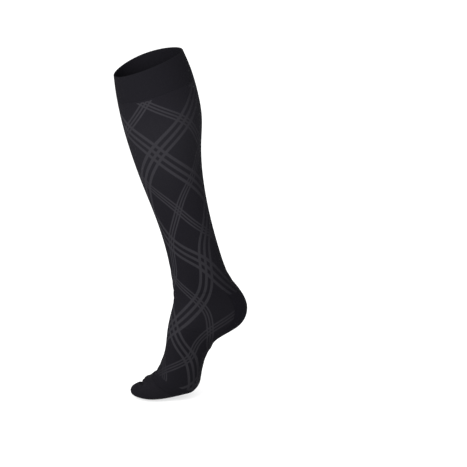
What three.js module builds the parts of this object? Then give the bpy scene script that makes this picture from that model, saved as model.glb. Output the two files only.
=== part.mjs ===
import * as THREE from 'three';

// A knee-high compression stocking, filled out as it is worn, with the heel raised and the ball
// of the foot down. Millimetres, +Z up. The origin is the middle of the mouth, the toes point
// along -X, and both sides of the plane y = 0 are the same.

// Thickness of the knitted cloth, and the clearance where two pieces meet
const WALL = { welt: 2.4, leg: 1.5, heel: 1.8, foot: 1.5, toe: 1.8 };
const SEAM_GAP = 0.3;

// Rings round the leg and foot, from the rim to the tip of the toe. front and back are the ring's
// points on the side outline, as [x, z], and width is its size from side to side. egg moves its
// widest place back (towards the sole, on the foot), full rounds its quarters out from a true
// ellipse, and rise lifts its sides above the straight line from front to back.
const SECTIONS = [
  { name: 'rim', front: [-53.2, -19.8], back: [53.2, 19.8], width: 111, egg: -0.12, full: -0.03, rise: 2.3 },
  { name: 'welt', front: [-49.5, -51], back: [66.5, -13], width: 115, egg: 0.02, full: 0, rise: 2 },
  { name: 'calf_high', front: [-43.5, -83], back: [76.5, -49], width: 119, egg: 0.04, full: 0, rise: 0 },
  { name: 'calf', front: [-35.5, -116], back: [82.5, -88], width: 118, egg: 0.04, full: 0, rise: 0 },
  { name: 'calf_low', front: [-23, -157], back: [81.5, -129], width: 108, egg: 0.03, full: 0, rise: 0 },
  { name: 'shin_high', front: [-8.5, -198], back: [83, -172], width: 95, egg: 0.02, full: 0, rise: 0 },
  { name: 'shin', front: [7.5, -240], back: [89, -216], width: 84, egg: 0, full: 0, rise: 0 },
  { name: 'shin_low', front: [21, -281], back: [98, -259], width: 76, egg: 0, full: 0, rise: 0 },
  { name: 'ankle', front: [30.5, -320], back: [109.5, -302], width: 68, egg: 0, full: 0.01, rise: 0 },
  { name: 'ankle_low', front: [35.5, -352], back: [123.5, -340], width: 65, egg: 0, full: 0.03, rise: 0 },
  { name: 'heel_top', front: [37.5, -374.5], back: [142, -367], width: 66, egg: 0, full: 0.05, rise: 0 },
  { name: 'heel', front: [36.5, -390], back: [152.5, -393], width: 67, egg: 0, full: 0.06, rise: 0 },
  { name: 'heel_low', front: [33, -405], back: [144.5, -418], width: 68, egg: 0, full: 0.06, rise: 0 },
  { name: 'arch_high', front: [29.5, -421], back: [122, -434], width: 70, egg: 0, full: 0.06, rise: 0 },
  { name: 'arch', front: [27, -438], back: [97.5, -451], width: 73, egg: 0.02, full: 0.06, rise: 0 },
  { name: 'instep', front: [25, -457], back: [90, -468], width: 78, egg: 0.05, full: 0.06, rise: 0 },
  { name: 'waist', front: [21.5, -473], back: [84, -487], width: 83, egg: 0.06, full: 0.07, rise: 0 },
  { name: 'ball_high', front: [17, -485], back: [80.5, -506], width: 88, egg: 0.08, full: 0.08, rise: 0 },
  { name: 'ball', front: [11.5, -496.5], back: [73, -522.5], width: 91, egg: 0.08, full: 0.08, rise: 0 },
  { name: 'toe_root', front: [3, -506], back: [48, -532], width: 90, egg: 0.06, full: 0.08, rise: 0 },
  { name: 'toe', front: [-8, -516], back: [21, -537], width: 86, egg: 0.03, full: 0.07, rise: 0 },
  { name: 'toe_low', front: [-18, -522.2], back: [2, -538], width: 78, egg: 0, full: 0.05, rise: 0 },
  { name: 'toe_end', front: [-25, -525], back: [-13.5, -536.5], width: 60, egg: 0, full: 0.03, rise: 0 },
  { name: 'toe_nose', front: [-29, -527], back: [-25, -533], width: 33, egg: 0, full: 0.01, rise: 0 },
  { name: 'tip', front: [-30.5, -528], back: [-30.5, -528], width: 0, egg: 0, full: 0, rise: 0 },
];

// Where each piece ends, counted in sections from the rim
const ENDS = { welt: 1.3, leg: 9.6, heel: 12.7, foot: 19, toe: SECTIONS.length - 1 };

// Half of the heel cup's spread round the back
const HEEL_SPREAD = THREE.MathUtils.degToRad(50);

// Rows of facets in each piece, and columns of facets round the stocking
const ROWS = { welt: 5, leg: 27, heel: 7, foot: 15, toe: 10 };
const COLUMNS = 40;

// The welt's fold at the rim, as a quarter of a circle: how far down, and how much thinner each face
const RIM_FOLD = [
  { down: 0, thinner: 0.9 },
  { down: 0.4, thinner: 0.35 },
  { down: 1.2, thinner: 0 },
];

const BACK = Math.PI;
const FULL_TURN = 2 * Math.PI;

// A natural cubic spline through values that stand at 0, 1, 2 and so on
function splineThrough(values) {
  const last = values.length - 1;
  const bend = new Array(last + 1).fill(0);
  const spare = new Array(last + 1).fill(0);
  const ratio = new Array(last + 1).fill(0);
  for (let i = 1; i < last; i += 1) {
    const pivot = 4 - ratio[i - 1];
    ratio[i] = 1 / pivot;
    spare[i] = (6 * (values[i - 1] - 2 * values[i] + values[i + 1]) - spare[i - 1]) / pivot;
  }
  for (let i = last - 1; i > 0; i -= 1) {
    bend[i] = spare[i] - ratio[i] * bend[i + 1];
  }
  return (at) => {
    const i = Math.min(Math.max(Math.floor(at), 0), last - 1);
    const after = at - i;
    const before = 1 - after;
    const curve = (bend[i] * before ** 3 + bend[i + 1] * after ** 3) / 6;
    const line = (values[i] - bend[i] / 6) * before + (values[i + 1] - bend[i + 1] / 6) * after;
    return curve + line;
  };
}

const spline = {
  frontX: splineThrough(SECTIONS.map((section) => section.front[0])),
  frontZ: splineThrough(SECTIONS.map((section) => section.front[1])),
  backX: splineThrough(SECTIONS.map((section) => section.back[0])),
  backZ: splineThrough(SECTIONS.map((section) => section.back[1])),
  width: splineThrough(SECTIONS.map((section) => section.width)),
  egg: splineThrough(SECTIONS.map((section) => section.egg)),
  full: splineThrough(SECTIONS.map((section) => section.full)),
  rise: splineThrough(SECTIONS.map((section) => section.rise)),
};

// A point of the outer face. along counts sections from the rim, and round is an angle that is
// 0 at the front, a quarter turn at -Y and half a turn at the back.
function outerPoint(along, round) {
  const front = new THREE.Vector3(spline.frontX(along), 0, spline.frontZ(along));
  const back = new THREE.Vector3(spline.backX(along), 0, spline.backZ(along));
  const full = spline.full(along);
  const forth = -Math.cos(round) * (1 + full * Math.sin(round) ** 2);
  const aside = Math.sin(round) * (1 + full * Math.cos(round) ** 2) * (1 + spline.egg(along) * forth);
  const point = front.clone().lerp(back, (1 + forth) / 2);
  point.y = (-aside * spline.width(along)) / 2;
  point.z += spline.rise(along) * Math.sin(round) ** 2;
  return point;
}

// The outer face's directions along and round, in millimetres per section and per radian
const STEP = 1e-3;

function directions(along, round) {
  const near = THREE.MathUtils.clamp(along, STEP, ENDS.toe - STEP);
  const down = outerPoint(near + STEP, round).sub(outerPoint(near - STEP, round));
  const turn = outerPoint(near, round + STEP).sub(outerPoint(near, round - STEP));
  return { down: down.divideScalar(2 * STEP), turn: turn.divideScalar(2 * STEP) };
}

// At the tip of the toe, every ring line meets in one point, which faces forwards
const TIP_INWARD = new THREE.Vector3(1, 0, 0);

// A point in the wall, inwards from the outer face, on a grid line down and a grid line round.
// shift moves a line by some hundredths of a millimetre, to leave half the clearance at a seam.
function wallPoint(downLine, roundLine, inwards) {
  const { down, turn } = directions(downLine.at, roundLine.at);
  const along = downLine.at + downLine.shift / down.length();
  const round = roundLine.at + roundLine.shift / turn.length();
  const inward = downLine.at === ENDS.toe ? TIP_INWARD : turn.cross(down).normalize();
  return outerPoint(along, round).addScaledVector(inward, inwards);
}

// Grid lines down the stocking, from one section number to another, with a seam at either end
function linesDown(from, to, rows, seamAbove, seamBelow) {
  const lines = [];
  for (let i = 0; i <= rows; i += 1) {
    let shift = 0;
    if (i === 0 && seamAbove) {
      shift = SEAM_GAP / 2;
    }
    if (i === rows && seamBelow) {
      shift = -SEAM_GAP / 2;
    }
    lines.push({ at: from + ((to - from) * i) / rows, shift, thinner: 0 });
  }
  return lines;
}

// Grid lines round the stocking. place says what follows a line: the tube, the heel cup's part of
// it, or the clearance beside the cup, which lies between two lines.
function linesRound(withCup) {
  const lines = [];
  const pitch = FULL_TURN / COLUMNS;
  const cup = withCup ? [BACK - HEEL_SPREAD, BACK + HEEL_SPREAD] : [BACK, BACK];
  for (let j = 0; j < COLUMNS; j += 1) {
    const at = j * pitch;
    if (!withCup || cup.every((seam) => Math.abs(seam - at) > pitch / 2)) {
      lines.push({ at, shift: 0, place: at > cup[0] && at < cup[1] ? 'cup' : 'tube' });
    }
  }
  if (withCup) {
    lines.push({ at: cup[0], shift: -SEAM_GAP / 2, place: 'gap' });
    lines.push({ at: cup[0], shift: SEAM_GAP / 2, place: 'cup' });
    lines.push({ at: cup[1], shift: -SEAM_GAP / 2, place: 'gap' });
    lines.push({ at: cup[1], shift: SEAM_GAP / 2, place: 'tube' });
  }
  return lines.sort((one, other) => one.at - other.at || one.shift - other.shift);
}

// A closed wall over the cells of a grid that keeps() accepts: outer face, inner face, and an
// edge wherever a kept cell has no kept neighbour
function wallGeometry(down, round, thickness, keeps) {
  const outer = down.map((line) => round.map((column) => wallPoint(line, column, line.thinner)));
  const inner = down.map((line) => round.map((column) => wallPoint(line, column, thickness - line.thinner)));
  const positions = [];
  const triangle = (a, b, c) => {
    if (a.distanceTo(b) > STEP && b.distanceTo(c) > STEP && c.distanceTo(a) > STEP) {
      positions.push(...a.toArray(), ...b.toArray(), ...c.toArray());
    }
  };
  const quad = (a, b, c, d) => {
    triangle(a, b, c);
    triangle(a, c, d);
  };
  const rows = down.length - 1;
  const columns = round.length;
  const kept = (i, j) => i >= 0 && i < rows && keeps(down[i], round[(j + columns) % columns]);
  for (let i = 0; i < rows; i += 1) {
    for (let j = 0; j < columns; j += 1) {
      if (!kept(i, j)) {
        continue;
      }
      const next = (j + 1) % columns;
      quad(outer[i][j], outer[i + 1][j], outer[i + 1][next], outer[i][next]);
      quad(inner[i][j], inner[i][next], inner[i + 1][next], inner[i + 1][j]);
      if (!kept(i - 1, j)) {
        quad(inner[i][j], outer[i][j], outer[i][next], inner[i][next]);
      }
      if (!kept(i + 1, j)) {
        quad(outer[i + 1][j], inner[i + 1][j], inner[i + 1][next], outer[i + 1][next]);
      }
      if (!kept(i, j - 1)) {
        quad(outer[i][j], inner[i][j], inner[i + 1][j], outer[i + 1][j]);
      }
      if (!kept(i, j + 1)) {
        quad(inner[i][next], outer[i][next], outer[i + 1][next], inner[i + 1][next]);
      }
    }
  }
  const geometry = new THREE.BufferGeometry();
  geometry.setAttribute('position', new THREE.Float32BufferAttribute(positions, 3));
  geometry.computeVertexNormals();
  return geometry;
}

// Near-black compression knit, the same yarn in every piece
const knit = { color: 0x222126, roughness: 0.92, metalness: 0 };
const stocking = new THREE.Group();

function addPiece(name, geometry) {
  const piece = new THREE.Mesh(geometry, new THREE.MeshStandardMaterial(knit));
  piece.name = name;
  stocking.add(piece);
}

const everyCell = () => true;

// Welt: the double band at the mouth, folded over at the rim
const foldLines = RIM_FOLD.map(({ down, thinner }) => ({ at: 0, shift: down, thinner }));
const weltLines = [...foldLines, ...linesDown(0, ENDS.welt, ROWS.welt, false, true).slice(1)];
addPiece('welt', wallGeometry(weltLines, linesRound(false), WALL.welt, everyCell));

// Leg: one tube from the welt to the ankle
const legLines = linesDown(ENDS.welt, ENDS.leg, ROWS.leg, true, true);
addPiece('leg', wallGeometry(legLines, linesRound(false), WALL.leg, everyCell));

// Heel: a cup let into the back of the tube
const cupLines = linesDown(ENDS.leg, ENDS.heel, ROWS.heel, true, true);
const inCup = (row, column) => column.place === 'cup';
addPiece('heel', wallGeometry(cupLines, linesRound(true), WALL.heel, inCup));

// Foot: the tube in front of the cup and on to the ball of the foot, open where the cup is
const besideCup = linesDown(ENDS.leg, ENDS.heel, ROWS.heel, true, false).slice(0, -1);
const pastCup = linesDown(ENDS.heel, ENDS.foot, ROWS.foot, true, true);
const outOfCup = (row, column) => row.at >= ENDS.heel || column.place === 'tube';
addPiece('foot', wallGeometry([...besideCup, ...pastCup], linesRound(true), WALL.foot, outOfCup));

// Toe: a closed cap from the ball of the foot to the tip
const toeLines = linesDown(ENDS.foot, ENDS.toe, ROWS.toe, true, false);
addPiece('toe', wallGeometry(toeLines, linesRound(false), WALL.toe, everyCell));

export default stocking;
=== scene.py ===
import math

import bpy
import numpy as np
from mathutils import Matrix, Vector


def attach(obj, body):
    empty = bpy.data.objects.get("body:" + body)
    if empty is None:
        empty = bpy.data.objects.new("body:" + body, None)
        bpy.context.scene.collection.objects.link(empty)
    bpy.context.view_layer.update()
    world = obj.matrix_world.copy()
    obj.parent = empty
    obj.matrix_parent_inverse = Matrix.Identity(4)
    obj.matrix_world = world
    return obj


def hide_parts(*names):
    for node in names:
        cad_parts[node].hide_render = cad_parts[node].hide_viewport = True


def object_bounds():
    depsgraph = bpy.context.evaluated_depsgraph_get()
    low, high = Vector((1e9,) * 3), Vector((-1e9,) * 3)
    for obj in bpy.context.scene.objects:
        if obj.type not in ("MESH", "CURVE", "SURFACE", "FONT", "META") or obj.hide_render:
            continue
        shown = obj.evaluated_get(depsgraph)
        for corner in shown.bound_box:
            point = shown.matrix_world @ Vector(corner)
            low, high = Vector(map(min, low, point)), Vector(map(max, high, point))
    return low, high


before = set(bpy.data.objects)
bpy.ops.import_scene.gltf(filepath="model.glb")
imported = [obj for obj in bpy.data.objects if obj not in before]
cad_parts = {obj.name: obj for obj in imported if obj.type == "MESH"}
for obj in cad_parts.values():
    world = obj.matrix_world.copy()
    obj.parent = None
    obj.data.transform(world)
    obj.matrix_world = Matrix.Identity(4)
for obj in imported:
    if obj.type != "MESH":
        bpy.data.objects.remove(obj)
cad_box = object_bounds()

MM = 0.001

# The photograph's view: along +Y and down, with 1.55 mm to a pixel at the middle of the picture
PICTURE_PIXELS = 467
PIXEL = 1.55 * MM
CAMERA_TILT = math.radians(16.5)
CAMERA_DISTANCE = 7.0
CAMERA_AIM = Vector((0.131, 0, -0.2743))
SENSOR = 36.0
CLIP_END = 100.0

# Thickness of the knitted cloth in each piece
WALL = {"welt": 2.4, "leg": 1.5, "heel": 1.8, "foot": 1.5, "toe": 1.8}

# Rings round the leg and foot, from the rim to the tip of the toe, in millimetres: the ring's
# front and back points on the side outline, and its width. egg moves the widest place back,
# full rounds the quarters out from an ellipse, and rise lifts the sides above a straight line.
SECTION_COLUMNS = ("front_x", "front_z", "back_x", "back_z", "width", "egg", "full", "rise")
SECTIONS = {
    "rim": (-53.2, -19.8, 53.2, 19.8, 111, -0.12, -0.03, 2.3),
    "welt": (-49.5, -51, 66.5, -13, 115, 0.02, 0, 2),
    "calf_high": (-43.5, -83, 76.5, -49, 119, 0.04, 0, 0),
    "calf": (-35.5, -116, 82.5, -88, 118, 0.04, 0, 0),
    "calf_low": (-23, -157, 81.5, -129, 108, 0.03, 0, 0),
    "shin_high": (-8.5, -198, 83, -172, 95, 0.02, 0, 0),
    "shin": (7.5, -240, 89, -216, 84, 0, 0, 0),
    "shin_low": (21, -281, 98, -259, 76, 0, 0, 0),
    "ankle": (30.5, -320, 109.5, -302, 68, 0, 0.01, 0),
    "ankle_low": (35.5, -352, 123.5, -340, 65, 0, 0.03, 0),
    "heel_top": (37.5, -374.5, 142, -367, 66, 0, 0.05, 0),
    "heel": (36.5, -390, 152.5, -393, 67, 0, 0.06, 0),
    "heel_low": (33, -405, 144.5, -418, 68, 0, 0.06, 0),
    "arch_high": (29.5, -421, 122, -434, 70, 0, 0.06, 0),
    "arch": (27, -438, 97.5, -451, 73, 0.02, 0.06, 0),
    "instep": (25, -457, 90, -468, 78, 0.05, 0.06, 0),
    "waist": (21.5, -473, 84, -487, 83, 0.06, 0.07, 0),
    "ball_high": (17, -485, 80.5, -506, 88, 0.08, 0.08, 0),
    "ball": (11.5, -496.5, 73, -522.5, 91, 0.08, 0.08, 0),
    "toe_root": (3, -506, 48, -532, 90, 0.06, 0.08, 0),
    "toe": (-8, -516, 21, -537, 86, 0.03, 0.07, 0),
    "toe_low": (-18, -522.2, 0.5, -537.6, 78, 0, 0.05, 0),
    "toe_end": (-25, -525, -16, -535.7, 60, 0, 0.03, 0),
    "toe_nose": (-29, -527.3, -26.8, -532.8, 35, 0, 0.01, 0),
    "tip": (-30.5, -529.6, -30.5, -529.6, 0, 0, 0, 0),
}
TIP = len(SECTIONS) - 1

# Where each piece ends, counted in sections from the rim, and the heel cup's half spread
ENDS = {"welt": 1.3, "leg": 9.6, "heel": 12.7, "foot": 19.0, "toe": float(TIP)}
HEEL_SPREAD = math.radians(50)
BACK = math.pi
FULL_TURN = 2 * math.pi
LEFT_SEAM = BACK - HEEL_SPREAD
RIGHT_SEAM = BACK + HEEL_SPREAD

# The fine grid: cells down each piece, and cells round the stocking beside and across the cup
ROWS = {"welt": 24, "leg": 184, "heel": 44, "foot": 96, "toe": 72}
BESIDE_CUP = 86
ACROSS_CUP = 68

# A seam: the grid lines next to it, in millimetres from its middle, and the groove over it
SEAM_LINES = (0.05, 0.35, 0.7, 1.15, 1.7)
SEAM_DEPTH = 0.25
SEAM_WIDTH = 0.8

# The welt is double cloth, and its fold at the rim is a half circle: the grid lines on each side
# of its edge, and how far into the first step the first of them lies
FOLD_STEPS = 6
FOLD_START = 0.35

# Edges sharper than this are shaded as edges
SHARP_ANGLE = math.radians(60)

# The crossing lines, charted. The bands cross in rows down the stocking and in four
# columns round it: 0 in front, 1 on the near side, 2 at the back and 3 on the far side. For each
# row: its place in sections, how much lower it is in front than on average, how much lower in
# front and at the back than at the sides, the columns' shift round the leg in quarter turns,
# and that shift's growth in front and on the near side.
CHART_STEP = 0.5
CHART_COLUMNS = ("along", "lean", "waist", "twist", "twist_front", "twist_side")
CHART = (
    (1.47, 0.00, 0.00, -0.13, -0.055, -0.06),
    (2.61, -0.02, -0.01, -0.14, -0.06, -0.01),
    (3.71, -0.13, 0.06, -0.22, -0.01, 0.05),
    (4.84, -0.16, 0.03, -0.07, -0.04, -0.03),
    (5.94, -0.04, 0.02, 0.00, 0.06, -0.02),
    (7.07, 0.05, 0.01, 0.05, -0.02, -0.02),
    (8.30, 0.32, 0.06, 0.21, 0.07, 0.07),
    (10.32, -0.15, 0.07, 0.30, -0.04, 0.03),
    (12.64, 0.18, 0.11, 0.18, 0.15, 0.00),
    (15.12, -0.09, -0.16, 0.35, 0.12, 0.20),
    (17.57, -0.37, -0.06, 0.29, 0.17, 0.10),
    (20.24, 0.00, -0.10, 0.31, 0.05, 0.10),
)

# The chart is drawn between these sections, and each band has three lines: half a line's width
# and the distance from line to line, in millimetres
CHART_STARTS = 1.38
CHART_ENDS = 18.0
CUP_LINES_END = 9.9
BOLD_LINE = (2.5, 10.5)
FINE_LINE = (1.3, 5.0)

# The bands are this much narrower where the knit is stretched less: girth in mm, and share
BAND_SHARES = ((235, 0.84), (375, 1.0))

# Half the width of a line's soft edge, in millimetres
LINE_EDGE = 0.45

# How a place's row and column are found on the chart: the rows to start from, the rounds, the
# share of each step that is taken, the longest step, and the least spread of rows and columns
SEARCH_ROWS = (-1, 7, 400)
SEARCH_ROUNDS = 24
SEARCH_SHARE = 0.8
SEARCH_LIMIT = 0.5
LEAST_SPREAD = 0.2

# Soft folds of the knit at the ankle, the arch and the toes: section, degrees round, length, width
# and height in millimetres, and slope in degrees. A height below zero is a trough.
FOLDS = (
    (8.35, 8, 46, 4.4, -0.30, 7),
    (8.95, -14, 60, 5.0, -0.50, -5),
    (9.60, 10, 54, 4.2, -0.60, 4),
    (10.25, -6, 46, 3.8, -0.45, -7),
    (10.90, 16, 34, 3.4, -0.30, 6),
    (8.85, 184, 38, 4.4, -0.35, -6),
    (9.30, 171, 46, 4.0, -0.45, 5),
    (17.50, 6, 52, 3.8, -0.40, 5),
    (18.25, -16, 60, 4.2, -0.50, -4),
    (18.85, 14, 44, 3.4, -0.35, 6),
    (18.55, -5, 60, 4.5, -1.30, -4),
    (19.90, -20, 70, 6.5, 2.40, -6),
    (19.87, 8, 54, 1.7, 1.40, -27),
    (19.60, 18, 28, 1.3, 1.10, -38),
    (20.63, -18, 44, 2.0, -3.80, -22),
    (20.90, -10, 60, 6.0, -0.90, 0),
    (14.35, 180, 76, 9.0, 3.40, 0),
    (18.40, 178, 60, 5.0, 1.50, 0),
    (14.60, 176, 40, 5.0, -0.35, 3),
    (15.50, 186, 50, 5.4, -0.45, -5),
)

# Each fold bends a little: by how many millimetres, and over how many radians of a wave
FOLD_BEND = 3
FOLD_WAVE = 2.2

# Wales round the leg, the height of a course in millimetres, how far a stitch slants, in courses
# to a wale, and how much of its height is its own and not the wale's
WALES = 400
COURSE = 0.75
STITCH_SLANT = 1.1
STITCH_SHARE = 0.3

# How finely lengths are measured: round a ring, down the leg, and on how many lines down it
RING_POINTS = 721
LENGTH_POINTS = 1201
LENGTH_LINES = 72

# A small step for slopes, in sections, in the chart's rows and columns or in radians
STEP = 1e-3

# The studio: an even light all round, a soft box, and a light that reaches the floor alone
FLOOR_SIZE = 40.0
FLOOR_COLOUR = (0.9, 0.9, 0.9, 1)
FLOOR_ROUGHNESS = 0.95
WORLD_LIGHT = 0.6
BOX_LIGHT = 8.5
BOX_SIZE = 0.6
BOX_PLACE = (-0.4, -0.95, 0.25)
BOX_AIM = (0.02, 0.0, -0.06)
FLOOR_LIGHT = 2.4
FLOOR_LIGHT_PLACE = (0.0, 0.0, 3.0)


def natural_spline(values):
    """A natural cubic spline through values that stand at 0, 1, 2 and so on."""
    y = np.array(values, float)
    last = len(y) - 1
    system = np.eye(last + 1)
    target = np.zeros(last + 1)
    for i in range(1, last):
        system[i, i - 1:i + 2] = 1, 4, 1
        target[i] = 6 * (y[i - 1] - 2 * y[i] + y[i + 1])
    bend = np.linalg.solve(system, target)

    def value_at(at):
        i = np.clip(np.floor(at).astype(int), 0, last - 1)
        after = at - i
        before = 1 - after
        curve = (bend[i] * before**3 + bend[i + 1] * after**3) / 6
        line = (y[i] - bend[i] / 6) * before + (y[i + 1] - bend[i + 1] / 6) * after
        return curve + line

    return value_at


def splines(names, rows):
    """One spline for each named column of a table."""
    return {name: natural_spline([row[k] for row in rows]) for k, name in enumerate(names)}


SECTION = splines(SECTION_COLUMNS, list(SECTIONS.values()))
CHARTED = splines(CHART_COLUMNS, CHART)


def outer_point(along, around):
    """Points of the worn outer face, in millimetres. around is 0 in front and grows past -Y."""
    size = {name: spline(along) for name, spline in SECTION.items()}
    cosine, sine = np.cos(around), np.sin(around)
    forth = -cosine * (1 + size["full"] * sine**2)
    aside = sine * (1 + size["full"] * cosine**2) * (1 + size["egg"] * forth)
    share = (1 + forth) / 2
    x = size["front_x"] + (size["back_x"] - size["front_x"]) * share
    z = size["front_z"] + (size["back_z"] - size["front_z"]) * share + size["rise"] * sine**2
    return np.stack([x, -aside * size["width"] / 2, z], axis=-1)


def directions(along, around):
    """The face's directions down and round, in millimetres per section and per radian."""
    near = np.clip(along, STEP, TIP - STEP)
    down = outer_point(near + STEP, around) - outer_point(near - STEP, around)
    turn = outer_point(near, around + STEP) - outer_point(near, around - STEP)
    return down / (2 * STEP), turn / (2 * STEP)


def length_of(vectors):
    return np.linalg.norm(vectors, axis=-1)


def quarter_turns(along, around):
    """How far round the ring each point is, 0 to 4 by length of cloth, and the ring's girth."""
    fine = np.linspace(0, FULL_TURN, RING_POINTS)
    level = along.mean(axis=1)
    rings = outer_point(np.minimum(level, TIP - STEP)[:, None], fine[None, :])
    arc = np.zeros((len(level), len(fine)))
    arc[:, 1:] = np.cumsum(length_of(np.diff(rings, axis=1)), axis=1)
    girth = arc[:, -1:]
    arc = arc * 4 / girth
    turns = np.stack([np.interp(row, fine, ring) for row, ring in zip(around, arc)])
    return turns, np.broadcast_to(girth, turns.shape)


def distance_down():
    """The cloth's mean length from the rim to each of many sections, in millimetres."""
    level = np.linspace(0, TIP, LENGTH_POINTS)
    fine = np.linspace(0, FULL_TURN, LENGTH_LINES + 1)[:-1]
    lines = outer_point(level[:, None], fine[None, :])
    steps = length_of(np.diff(lines, axis=0)).mean(axis=1)
    return level, np.concatenate([[0], np.cumsum(steps)])


LEVELS, DOWN_TO = distance_down()


def chart_place(row, column):
    """Where a charted row and column lie: the section, and the quarter turns round."""
    value = {name: spline(row / CHART_STEP) for name, spline in CHARTED.items()}
    angle = column * math.pi / 2
    front, side = np.cos(angle), np.sin(angle)
    along = value["along"] + value["lean"] * front + value["waist"] * np.cos(2 * angle)
    turn = column + value["twist"] + value["twist_front"] * front + value["twist_side"] * side
    return along, turn


def chart_row_column(along, turn):
    """The charted row and column at a place on the stocking, found step by step from its slopes."""
    rows = np.linspace(*SEARCH_ROWS)
    means = CHARTED["along"](rows / CHART_STEP)
    row = np.interp(along, means, rows)
    column = turn - CHARTED["twist"](row / CHART_STEP)
    for _ in range(SEARCH_ROUNDS):
        at_along, at_turn = chart_place(row, column)
        down_along, down_turn = chart_place(row + STEP, column)
        round_along, round_turn = chart_place(row, column + STEP)
        a, b = (down_along - at_along) / STEP, (round_along - at_along) / STEP
        c, d = (down_turn - at_turn) / STEP, (round_turn - at_turn) / STEP
        spread = np.maximum(a * d - b * c, LEAST_SPREAD)
        miss_along, miss_turn = along - at_along, turn - at_turn
        row_step = (d * miss_along - b * miss_turn) / spread
        column_step = (a * miss_turn - c * miss_along) / spread
        row = row + SEARCH_SHARE * np.clip(row_step, -SEARCH_LIMIT, SEARCH_LIMIT)
        column = column + SEARCH_SHARE * np.clip(column_step, -SEARCH_LIMIT, SEARCH_LIMIT)
    return row, column


def millimetres_per_unit(value, points):
    """How many millimetres of cloth a field on a grid of points takes to grow by 1."""
    value_down, value_round = np.gradient(value)
    down, turn = np.gradient(points, axis=(0, 1))
    dd, dt, tt = ((a * b).sum(axis=-1) for a, b in ((down, down), (down, turn), (turn, turn)))
    steep = tt * value_down**2 - 2 * dt * value_down * value_round + dd * value_round**2
    spread = np.maximum(dd * tt - dt**2, 1e-12)
    return 1 / np.sqrt(np.maximum(steep / spread, 1e-6))


def seam_distance(along, around, down, turn):
    """How far the nearest seam is, in millimetres."""
    down_length, turn_length = length_of(down), length_of(turn)
    rings = [ENDS["welt"], ENDS["leg"], ENDS["foot"]]
    nearest = np.min([np.abs(along - ring) * down_length for ring in rings], axis=0)
    aside = (np.abs(around - BACK) - HEEL_SPREAD) * turn_length
    apart = np.maximum(ENDS["leg"] - along, along - ENDS["heel"]) * down_length
    outside = np.hypot(np.maximum(aside, 0), np.maximum(apart, 0))
    cup = np.abs(outside + np.minimum(np.maximum(aside, apart), 0))
    return np.minimum(nearest, cup)


def fold_height(along, around, turn_length):
    """The soft folds' height at each point, in millimetres."""
    height = np.zeros_like(along)
    level = np.interp(along, LEVELS, DOWN_TO)
    for section, degrees, long, wide, high, slope in FOLDS:
        aside = (around - math.radians(degrees) + math.pi) % FULL_TURN - math.pi
        across = aside * turn_length
        below = level - np.interp(section, LEVELS, DOWN_TO)
        tilt = math.tan(math.radians(slope))
        off = below - across * tilt - FOLD_BEND * np.sin(across / long * FOLD_WAVE)
        height += high * np.exp(-(off / wide)**2) * np.exp(-(across / (long / 2))**4)
    return height


def fold_angle(step):
    """How far round the rim's fold a grid line lies, from the rim's edge."""
    return math.pi / 2 * (step + FOLD_START) / FOLD_STEPS


def rim_lines():
    """Grid lines round the outer half of the rim's fold: (section, shift in millimetres)."""
    radius = WALL["welt"] / 2
    return [(0.0, radius * (1 - math.cos(fold_angle(step)))) for step in range(FOLD_STEPS)]


def row_lines(start, end, cells, seam_above, seam_below):
    """Grid lines down a piece: (section, shift in millimetres)."""
    lines = [(start + (end - start) * i / cells, 0.0) for i in range(cells + 1)]
    if seam_above:
        lines = [(start, shift) for shift in SEAM_LINES] + lines[1:]
    if seam_below:
        lines = lines[:-1] + [(end, -shift) for shift in reversed(SEAM_LINES)]
    return lines


def round_lines(cup_seams):
    """Grid lines round the stocking: (angle, shift in millimetres)."""
    across, rest = RIGHT_SEAM - LEFT_SEAM, FULL_TURN - RIGHT_SEAM
    lines = [(LEFT_SEAM * j / BESIDE_CUP, 0.0) for j in range(BESIDE_CUP)]
    lines += [(LEFT_SEAM, 0.0)]
    lines += [(LEFT_SEAM + across * j / ACROSS_CUP, 0.0) for j in range(1, ACROSS_CUP)]
    lines += [(RIGHT_SEAM, 0.0)]
    lines += [(RIGHT_SEAM + rest * j / BESIDE_CUP, 0.0) for j in range(1, BESIDE_CUP)]
    if cup_seams:
        lines = [line for line in lines if line[0] not in (LEFT_SEAM, RIGHT_SEAM)]
        for seam in (LEFT_SEAM, RIGHT_SEAM):
            lines += [(seam, shift) for shift in SEAM_LINES]
            lines += [(seam, -shift) for shift in SEAM_LINES]
        lines.sort()
    return lines


def grid_of(rows, columns):
    """Sections and angles of a grid's points, with the last column a whole turn on."""
    row_at, row_shift = (np.array(part)[:, None] for part in zip(*rows))
    wrapped = list(columns) + [(columns[0][0] + FULL_TURN, columns[0][1])]
    column_at, column_shift = (np.array(part)[None, :] for part in zip(*wrapped))
    down, turn = directions(*np.broadcast_arrays(row_at, column_at))
    along = row_at + row_shift / np.maximum(length_of(down), 1e-6)
    around = column_at + column_shift / np.maximum(length_of(turn), 1.0)
    return np.clip(along, 0, TIP), around


def shell_points(thickness, along, around, rim, tip):
    """Points of the worn face, in millimetres, and of the cloth's outer and inner face, in metres."""
    down, turn = directions(along, around)
    inward = np.cross(turn, down)
    inward /= np.maximum(length_of(inward), 1e-9)[..., None]
    if tip:
        inward[-1] = (1, 0, 0)
    worn = outer_point(along, around)
    folds = fold_height(along, around, length_of(turn))
    groove = SEAM_DEPTH * np.exp(-(seam_distance(along, around, down, turn) / SEAM_WIDTH)**2)
    outer_in = groove - folds
    inner_in = np.full_like(along, thickness) - folds
    if rim:
        radius = thickness / 2
        for step in range(FOLD_STEPS):
            rounded = radius * (1 - math.sin(fold_angle(step)))
            outer_in[step] += rounded
            inner_in[step] -= rounded
    outer = (worn + inward * outer_in[..., None]) * MM
    inner = (worn + inward * inner_in[..., None]) * MM
    return worn, outer, inner


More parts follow.
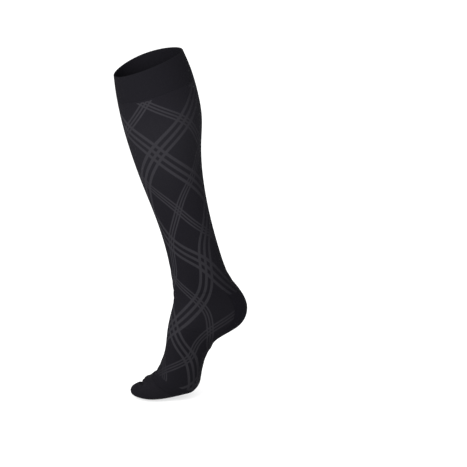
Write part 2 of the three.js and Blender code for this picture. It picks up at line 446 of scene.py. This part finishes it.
def shell_faces(kept, tip):
    """Faces of a closed shell over the kept cells, and their corners as (row, column, side).

    A side is 0 on the outer face and 1 on the inner one. A tip's last row is a single point.
    """
    count_down, count_round = kept.shape[0] + 1, kept.shape[1]
    here = np.arange(count_down * count_round).reshape(count_down, count_round)
    if tip:
        here[-1] = here[-1, 0]
    faces, corners = [], []

    def add(*cells):
        ring, ring_corners = [], []
        for i, j, side in cells:
            index = here[i, j % count_round] + side * here.size
            if index not in ring:
                ring.append(index)
                ring_corners.append((i, j, side))
        if len(ring) > 2:
            faces.append(ring)
            corners.extend(ring_corners)

    for i, j in zip(*np.nonzero(kept)):
        add((i, j, 0), (i + 1, j, 0), (i + 1, j + 1, 0), (i, j + 1, 0))
        add((i, j, 1), (i, j + 1, 1), (i + 1, j + 1, 1), (i + 1, j, 1))
        if i == 0 or not kept[i - 1, j]:
            add((i, j, 1), (i, j, 0), (i, j + 1, 0), (i, j + 1, 1))
        last = i + 2 == count_down
        if (last and not tip) or (not last and not kept[i + 1, j]):
            add((i + 1, j, 0), (i + 1, j, 1), (i + 1, j + 1, 1), (i + 1, j + 1, 0))
        if not kept[i, j - 1]:
            add((i, j, 0), (i, j, 1), (i + 1, j, 1), (i + 1, j, 0))
        if not kept[i, (j + 1) % count_round]:
            add((i, j + 1, 1), (i, j + 1, 0), (i + 1, j + 1, 0), (i + 1, j + 1, 1))
    return faces, corners


def knit_fields(along, around, worn):
    """What the materials read at each point of the grid, by name."""
    turns, girths = quarter_turns(along, around)
    row, column = chart_row_column(along, turns)
    share = np.interp(girths, *zip(*BAND_SHARES))
    return {
        "along": along,
        "course": np.interp(along, LEVELS, DOWN_TO) / COURSE,
        "wale": turns * WALES / 4,
        "falling": row - column,
        "rising": row + column,
        "falling_mm": millimetres_per_unit(row - column, worn) / share,
        "rising_mm": millimetres_per_unit(row + column, worn) / share,
        "girth": girths,
    }


def write_field(mesh, name, values):
    """Stores one number for each corner of the mesh's faces."""
    attribute = mesh.attributes.new(name, "FLOAT", "CORNER")
    attribute.data.foreach_set("value", values.astype(np.float32))


def cloth_piece(name, rows, columns, keeps, rim=False, tip=False):
    """One closed piece of cloth over the grid cells that keeps() accepts, and its worn measures."""
    along, around = grid_of(rows, columns)
    worn, outer, inner = shell_points(WALL[name], along, around, rim, tip)
    kept = np.array([[keeps(row, column) for column in columns] for row in rows[:-1]])
    faces, corners = shell_faces(kept, tip)

    points = np.concatenate([outer[:, :-1].reshape(-1, 3), inner[:, :-1].reshape(-1, 3)])
    used = np.unique(np.concatenate([np.array(face) for face in faces]))
    renumber = np.zeros(len(points), int)
    renumber[used] = np.arange(len(used))
    mesh = bpy.data.meshes.new(name + "_cloth")
    mesh.from_pydata(points[used].tolist(), [], [renumber[face].tolist() for face in faces])
    mesh.polygons.foreach_set("use_smooth", np.ones(len(faces), bool))
    mesh.set_sharp_from_angle(angle=SHARP_ANGLE)

    place = np.array(corners)
    for field, grid in knit_fields(along, around, worn).items():
        write_field(mesh, field, grid[place[:, 0], place[:, 1]])
    write_field(mesh, "inside", place[:, 2])

    piece = bpy.data.objects.new(name + "_cloth", mesh)
    bpy.context.scene.collection.objects.link(piece)
    width = (length_of(np.diff(worn, axis=1))[:-1] * kept).sum(axis=1).max() * MM
    length = (length_of(np.diff(worn, axis=0))[:, :-1] * kept).sum(axis=0).max() * MM
    return piece, sheet_area(worn, kept), width, length


def sheet_area(worn, kept):
    """The area of the kept cells, in square metres."""
    down = worn[1:, :-1] - worn[:-1, :-1]
    turn = worn[:-1, 1:] - worn[:-1, :-1]
    return (length_of(np.cross(down, turn)) * kept).sum() * MM * MM


class Graph:
    """A short way to write a material's nodes."""

    def __init__(self, name):
        self.material = bpy.data.materials.new(name)
        self.material.use_nodes = True
        self.nodes = self.material.node_tree.nodes
        self.links = self.material.node_tree.links
        self.shader = self.nodes["Principled BSDF"]

    def put(self, socket, value):
        if isinstance(value, bpy.types.NodeSocket):
            self.links.new(value, socket)
        else:
            socket.default_value = value

    def math(self, operation, *values):
        node = self.nodes.new("ShaderNodeMath")
        node.operation = operation
        for socket, value in zip(node.inputs, values):
            self.put(socket, value)
        return node.outputs[0]

    def attribute(self, name):
        node = self.nodes.new("ShaderNodeAttribute")
        node.attribute_name = name
        return node.outputs["Fac"]

    def ramp(self, value, low, high, start=0.0, end=1.0):
        """A soft step from start to end as value goes from low to high."""
        node = self.nodes.new("ShaderNodeMapRange")
        node.interpolation_type = "SMOOTHSTEP"
        for socket, setting in zip(node.inputs, (value, low, high, start, end)):
            self.put(socket, setting)
        return node.outputs[0]

    def blend(self, factor, first, second):
        node = self.nodes.new("ShaderNodeMix")
        node.data_type = "RGBA"
        self.put(node.inputs["Factor"], factor)
        self.put(node.inputs["A"], first)
        self.put(node.inputs["B"], second)
        return node.outputs["Result"]

    def noise(self, scale, detail, seed=0.0):
        """Smooth noise from 0 to 1 by the place on the object, scale cells to a metre."""
        place = self.nodes.new("ShaderNodeTexCoord")
        node = self.nodes.new("ShaderNodeTexNoise")
        node.noise_dimensions = "4D"
        self.links.new(place.outputs["Object"], node.inputs["Vector"])
        self.put(node.inputs["Scale"], scale)
        self.put(node.inputs["Detail"], detail)
        self.put(node.inputs["W"], seed)
        return node.outputs[0]

    def stitches(self):
        """Height of plain knit: wales of V-shaped stitches, one on another down each wale."""
        wale = self.attribute("wale")
        course = self.attribute("course")
        place = self.math("FRACT", wale)
        aside = self.math("ABSOLUTE", self.math("SUBTRACT", place, 0.5))
        slanted = self.math("MULTIPLY_ADD", aside, STITCH_SLANT, course)
        loop = self.math("SINE", self.math("MULTIPLY", slanted, FULL_TURN))
        rib = self.math("SINE", self.math("MULTIPLY", place, math.pi))
        lifted = self.math("MULTIPLY_ADD", loop, STITCH_SHARE, 1 - STITCH_SHARE)
        return self.math("MULTIPLY", rib, lifted)

    def band(self, phase, size):
        """1 on the lines of one family of bands, else 0. Even bands are bold and odd ones fine."""
        at = self.attribute(phase)
        number = self.math("ROUND", at)
        off = self.math("MULTIPLY", self.math("SUBTRACT", at, number), self.attribute(size))
        away = self.math("ABSOLUTE", off)
        odd = self.math("PINGPONG", number, 1.0)
        half = self.math("MULTIPLY_ADD", odd, FINE_LINE[0] - BOLD_LINE[0], BOLD_LINE[0])
        pitch = self.math("MULTIPLY_ADD", odd, FINE_LINE[1] - BOLD_LINE[1], BOLD_LINE[1])
        beside = self.math("ABSOLUTE", self.math("SUBTRACT", away, pitch))
        edge = self.math("SUBTRACT", self.math("MINIMUM", away, beside), half)
        return self.ramp(edge, -LINE_EDGE, LINE_EDGE, 1.0, 0.0)

    def charted_lines(self, end):
        """1 on the charted lines down to the section called end, else 0."""
        falling = self.band("falling", "falling_mm")
        rising = self.band("rising", "rising_mm")
        lines = self.math("MAXIMUM", falling, rising)
        along = self.attribute("along")
        begun = self.math("GREATER_THAN", along, CHART_STARTS)
        ended = self.math("GREATER_THAN", along, end)
        shown = self.math("SUBTRACT", begun, ended)
        outside = self.math("SUBTRACT", 1.0, self.attribute("inside"))
        return self.math("MULTIPLY", lines, self.math("MULTIPLY", shown, outside))


# Each slot's finish: the ground's colour where it is relaxed and where it is stretched, whether
# it carries the charted lines, the section where they end, and the stitches' height in mm. The
# stretched colour is lighter, partly from the stretched knit and partly as painted light on the calf.
FINISHES = {
    "welt_knit": ((0.0127, 0.0121, 0.0155), (0.0135, 0.0129, 0.0165), False, 0.0, 0.16),
    "leg_knit": ((0.0135, 0.0127, 0.0164), (0.0178, 0.0171, 0.0212), True, CHART_ENDS, 0.12),
    "heel_knit": ((0.0122, 0.0115, 0.0157), (0.0132, 0.0125, 0.0168), True, CUP_LINES_END, 0.16),
    "toe_knit": ((0.0166, 0.0156, 0.0197), (0.0175, 0.0165, 0.0207), False, 0.0, 0.16),
}
LINE_COLOUR = (0.0372, 0.0357, 0.042)
KNIT_ROUGHNESS = 0.9
KNIT_SPECULAR = 0.03

# The knit goes from relaxed to stretched between these girths in millimetres, and as it leaves
# the welt between these sections. The wide calf is lighter and the narrow ankle darker: partly
# stretched knit, partly painted light that falls off down the leg.
STRETCHED_AND_LIT_GIRTHS = (240, 375)
HELD_BY_WELT = (0.8, 3.0)

# The knit is darker from the ankle down (sections) and off the instep (quarter turns from the
# front): painted shade where the light falls off, on the foot's sides and the heel, and partly
# denser knit. The lines grow fainter towards the back (quarter turns from the front): a painted
# sheen on the lines, brightest where the light falls in front.
DENSE_AND_SHADED_BELOW = (7.0, 10.0)
DENSE_AND_SHADED_ASIDE = (0.45, 0.95)
DENSE_AND_PAINTED_SHADE = 0.2
PAINTED_FADE_BEHIND = (1.05, 1.85)
PAINTED_FADE_SHARE = 0.7

# The lines also grow fainter over the instep: sections, and quarter turns from the front
FAINT_BELOW = (14.5, 15.8)
FAINT_INSTEP = (0.4, 0.8)
FAINT_INSTEP_SHARE = 0.5

# Brightness of the cloth's inner face, painted light that lightens the shaded inside of the
# mouth. Noise, as cells to a metre and detail, and its shares: in patches that look more or less
# stretched, and in the yarn's mottling and height.
INSIDE_PAINTED_LIGHT = 1.1
PATCHES = (16, 2)
PATCH_SHARE = 0.3
YARN = (700, 3)
YARN_SEED = 2.0
MOTTLE_SHARE = 0.5
YARN_HEIGHT = 0.25


def line_strength(graph, behind):
    """How strongly the lines show: less towards the back, a painted sheen fading away from the light,
    and over the instep.
    """
    # Painted sheen on the lines: they fade towards the back, away from the light in front
    painted_back_fade = graph.ramp(behind, *PAINTED_FADE_BEHIND, 1.0, 1 - PAINTED_FADE_SHARE)
    over_foot = graph.ramp(graph.attribute("along"), *FAINT_BELOW)
    in_front = graph.ramp(behind, *FAINT_INSTEP, 1.0, 0.0)
    instep = graph.math("MULTIPLY", over_foot, in_front)
    to_instep = graph.math("MULTIPLY_ADD", instep, -FAINT_INSTEP_SHARE, 1.0)
    return graph.math("MULTIPLY", painted_back_fade, to_instep)


def knit_shade(graph, behind, yarn):
    """How bright the knit is: painted shade from the ankle down and off the instep, partly denser
    knit, painted light on the inner face, and mottled by its yarn.
    """
    below = graph.ramp(graph.attribute("along"), *DENSE_AND_SHADED_BELOW)
    # Painted shade, partly denser knit: darker from the ankle down and away from the front
    dense_and_shaded = graph.math("MULTIPLY", below, graph.ramp(behind, *DENSE_AND_SHADED_ASIDE))
    outside = graph.math("MULTIPLY_ADD", dense_and_shaded, -DENSE_AND_PAINTED_SHADE, 1.0)
    # Painted light: the inner face is lightened
    inside = graph.math("MULTIPLY_ADD", graph.attribute("inside"), INSIDE_PAINTED_LIGHT - 1, 1.0)
    mottle = graph.math("MULTIPLY_ADD", yarn, MOTTLE_SHARE, 1 - MOTTLE_SHARE / 2)
    return graph.math("MULTIPLY", mottle, graph.math("MULTIPLY", outside, inside))


def knit_material(slot):
    """Matt, near-black knit, with the charted lines where the finish has them."""
    relaxed_and_shaded, stretched_and_lit, lines, lines_end, height = FINISHES[slot]
    graph = Graph(slot)
    # Painted light: the stretched calf is lighter and the relaxed ankle and foot darker, partly the
    # knit's own stretch
    stretch_and_light = graph.ramp(graph.attribute("girth"), *STRETCHED_AND_LIT_GIRTHS)
    away = graph.ramp(graph.attribute("along"), *HELD_BY_WELT)
    stretch_and_light = graph.math("MULTIPLY", stretch_and_light, away)
    patches = graph.math("MULTIPLY_ADD", graph.noise(*PATCHES), PATCH_SHARE, -PATCH_SHARE / 2)
    colour = graph.blend(graph.math("ADD", stretch_and_light, patches), (*relaxed_and_shaded, 1), (*stretched_and_lit, 1))
    quarters = graph.math("MULTIPLY", graph.attribute("wale"), 4 / WALES)
    behind = graph.math("PINGPONG", quarters, 2.0)
    if lines:
        strength = line_strength(graph, behind)
        shown = graph.math("MULTIPLY", graph.charted_lines(lines_end), strength)
        colour = graph.blend(shown, colour, (*LINE_COLOUR, 1))
    yarn = graph.noise(*YARN, YARN_SEED)
    bright = graph.nodes.new("ShaderNodeHueSaturation")
    graph.put(bright.inputs["Value"], knit_shade(graph, behind, yarn))
    graph.put(bright.inputs["Color"], colour)
    graph.put(graph.shader.inputs["Base Color"], bright.outputs["Color"])
    graph.put(graph.shader.inputs["Roughness"], KNIT_ROUGHNESS)
    graph.put(graph.shader.inputs["Specular IOR Level"], KNIT_SPECULAR)
    raised = graph.nodes.new("ShaderNodeBump")
    rough = graph.math("MULTIPLY_ADD", yarn, YARN_HEIGHT, graph.stitches())
    graph.put(raised.inputs["Distance"], height * MM)
    graph.put(raised.inputs["Height"], rough)
    graph.put(graph.shader.inputs["Normal"], raised.outputs["Normal"])
    return graph.material


def aimed(thing, place, target):
    """Puts a light or camera at a place and points it at a target."""
    thing.location = place
    thing.rotation_euler = (Vector(target) - Vector(place)).to_track_quat("-Z", "Y").to_euler()
    bpy.context.scene.collection.objects.link(thing)
    return thing


def add_camera():
    back = Vector((0, -math.cos(CAMERA_TILT), math.sin(CAMERA_TILT)))
    data = bpy.data.cameras.new("photo_camera")
    data.sensor_width = SENSOR
    data.lens = SENSOR * CAMERA_DISTANCE / (PICTURE_PIXELS * PIXEL)
    data.clip_end = CLIP_END
    camera = bpy.data.objects.new("photo_camera", data)
    aimed(camera, CAMERA_AIM + back * CAMERA_DISTANCE, CAMERA_AIM)
    bpy.context.scene.camera = camera


def add_floor():
    """A wide pale floor at the toes' lowest point, which throws no light back on the stocking."""
    low = cad_box[0][2]
    half = FLOOR_SIZE / 2
    mesh = bpy.data.meshes.new("floor")
    corners = [(-half, -half, low), (half, -half, low), (half, half, low), (-half, half, low)]
    mesh.from_pydata(corners, [], [(0, 1, 2, 3)])
    floor = bpy.data.objects.new("floor", mesh)
    bpy.context.scene.collection.objects.link(floor)
    floor.visible_diffuse = False
    graph = Graph("floor_paper")
    graph.put(graph.shader.inputs["Base Color"], FLOOR_COLOUR)
    graph.put(graph.shader.inputs["Roughness"], FLOOR_ROUGHNESS)
    graph.put(graph.shader.inputs["Specular IOR Level"], 0.0)
    mesh.materials.append(graph.material)
    return floor


def add_light(floor):
    """An even studio, a soft box at the upper left in front, and an even light for the floor."""
    world = bpy.data.worlds.new("studio")
    world.use_nodes = True
    world.node_tree.nodes["Background"].inputs["Color"].default_value = (1, 1, 1, 1)
    world.node_tree.nodes["Background"].inputs["Strength"].default_value = WORLD_LIGHT
    bpy.context.scene.world = world
    box = bpy.data.lights.new("soft_box", "AREA")
    box.energy = BOX_LIGHT
    box.size = BOX_SIZE
    aimed(bpy.data.objects.new("soft_box", box), BOX_PLACE, BOX_AIM)
    wash = bpy.data.lights.new("floor_wash", "SUN")
    wash.energy = FLOOR_LIGHT
    wash.use_shadow = False
    lamp = aimed(bpy.data.objects.new("floor_wash", wash), FLOOR_LIGHT_PLACE, (0.0, 0.0, 0.0))
    washed = bpy.data.collections.new("washed_floor")
    washed.objects.link(floor)
    lamp.light_linking.receiver_collection = washed


add_camera()
add_light(add_floor())
bpy.context.scene.view_settings.view_transform = "Standard"

plain_columns = round_lines(False)
cup_columns = round_lines(True)


def every_cell(row, column):
    return True


def in_cup(row, column):
    """Whether the cell after this row and column lies in the heel cup."""
    angle, shift = column
    after_left = angle > LEFT_SEAM or (angle == LEFT_SEAM and shift > 0)
    before_right = angle < RIGHT_SEAM or (angle == RIGHT_SEAM and shift < -SEAM_LINES[0])
    return after_left and before_right


def out_of_cup(row, column):
    """Whether the cell after this row and column lies in the foot's tube."""
    section, shift_down = row
    angle, shift = column
    below = section > ENDS["heel"] or (section == ENDS["heel"] and shift_down > 0)
    left = angle < LEFT_SEAM or (angle == LEFT_SEAM and shift < -SEAM_LINES[0])
    right = angle > RIGHT_SEAM or (angle == RIGHT_SEAM and shift > 0)
    return below or left or right


# The fold's grid lines take the place of the welt's first two
welt_rows = rim_lines() + row_lines(0.0, ENDS["welt"], ROWS["welt"], False, True)[2:]
leg_rows = row_lines(ENDS["welt"], ENDS["leg"], ROWS["leg"], True, True)
heel_rows = row_lines(ENDS["leg"], ENDS["heel"], ROWS["heel"], True, True)
foot_top = row_lines(ENDS["leg"], ENDS["heel"], ROWS["heel"], True, False)[:-1]
foot_rows = foot_top + row_lines(ENDS["heel"], ENDS["foot"], ROWS["foot"], True, True)
toe_rows = row_lines(ENDS["foot"], ENDS["toe"], ROWS["toe"], True, False)

PIECES = (
    ("welt", welt_rows, plain_columns, every_cell, {"rim": True}),
    ("leg", leg_rows, plain_columns, every_cell, {}),
    ("heel", heel_rows, cup_columns, in_cup, {}),
    ("foot", foot_rows, cup_columns, out_of_cup, {}),
    ("toe", toe_rows, plain_columns, every_cell, {"tip": True}),
)
SLOTS = {
    "welt": "welt_knit",
    "leg": "leg_knit",
    "heel": "heel_knit",
    "foot": "leg_knit",
    "toe": "toe_knit",
}

materials = {}
for name, rows, columns, keeps, ends in PIECES:
    piece, worn_area, width, length = cloth_piece(name, rows, columns, keeps, **ends)
    slot = SLOTS[name]
    if slot not in materials:
        materials[slot] = knit_material(slot)
    piece.data.materials.append(materials[slot])
    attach(piece, "root")
    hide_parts(name)
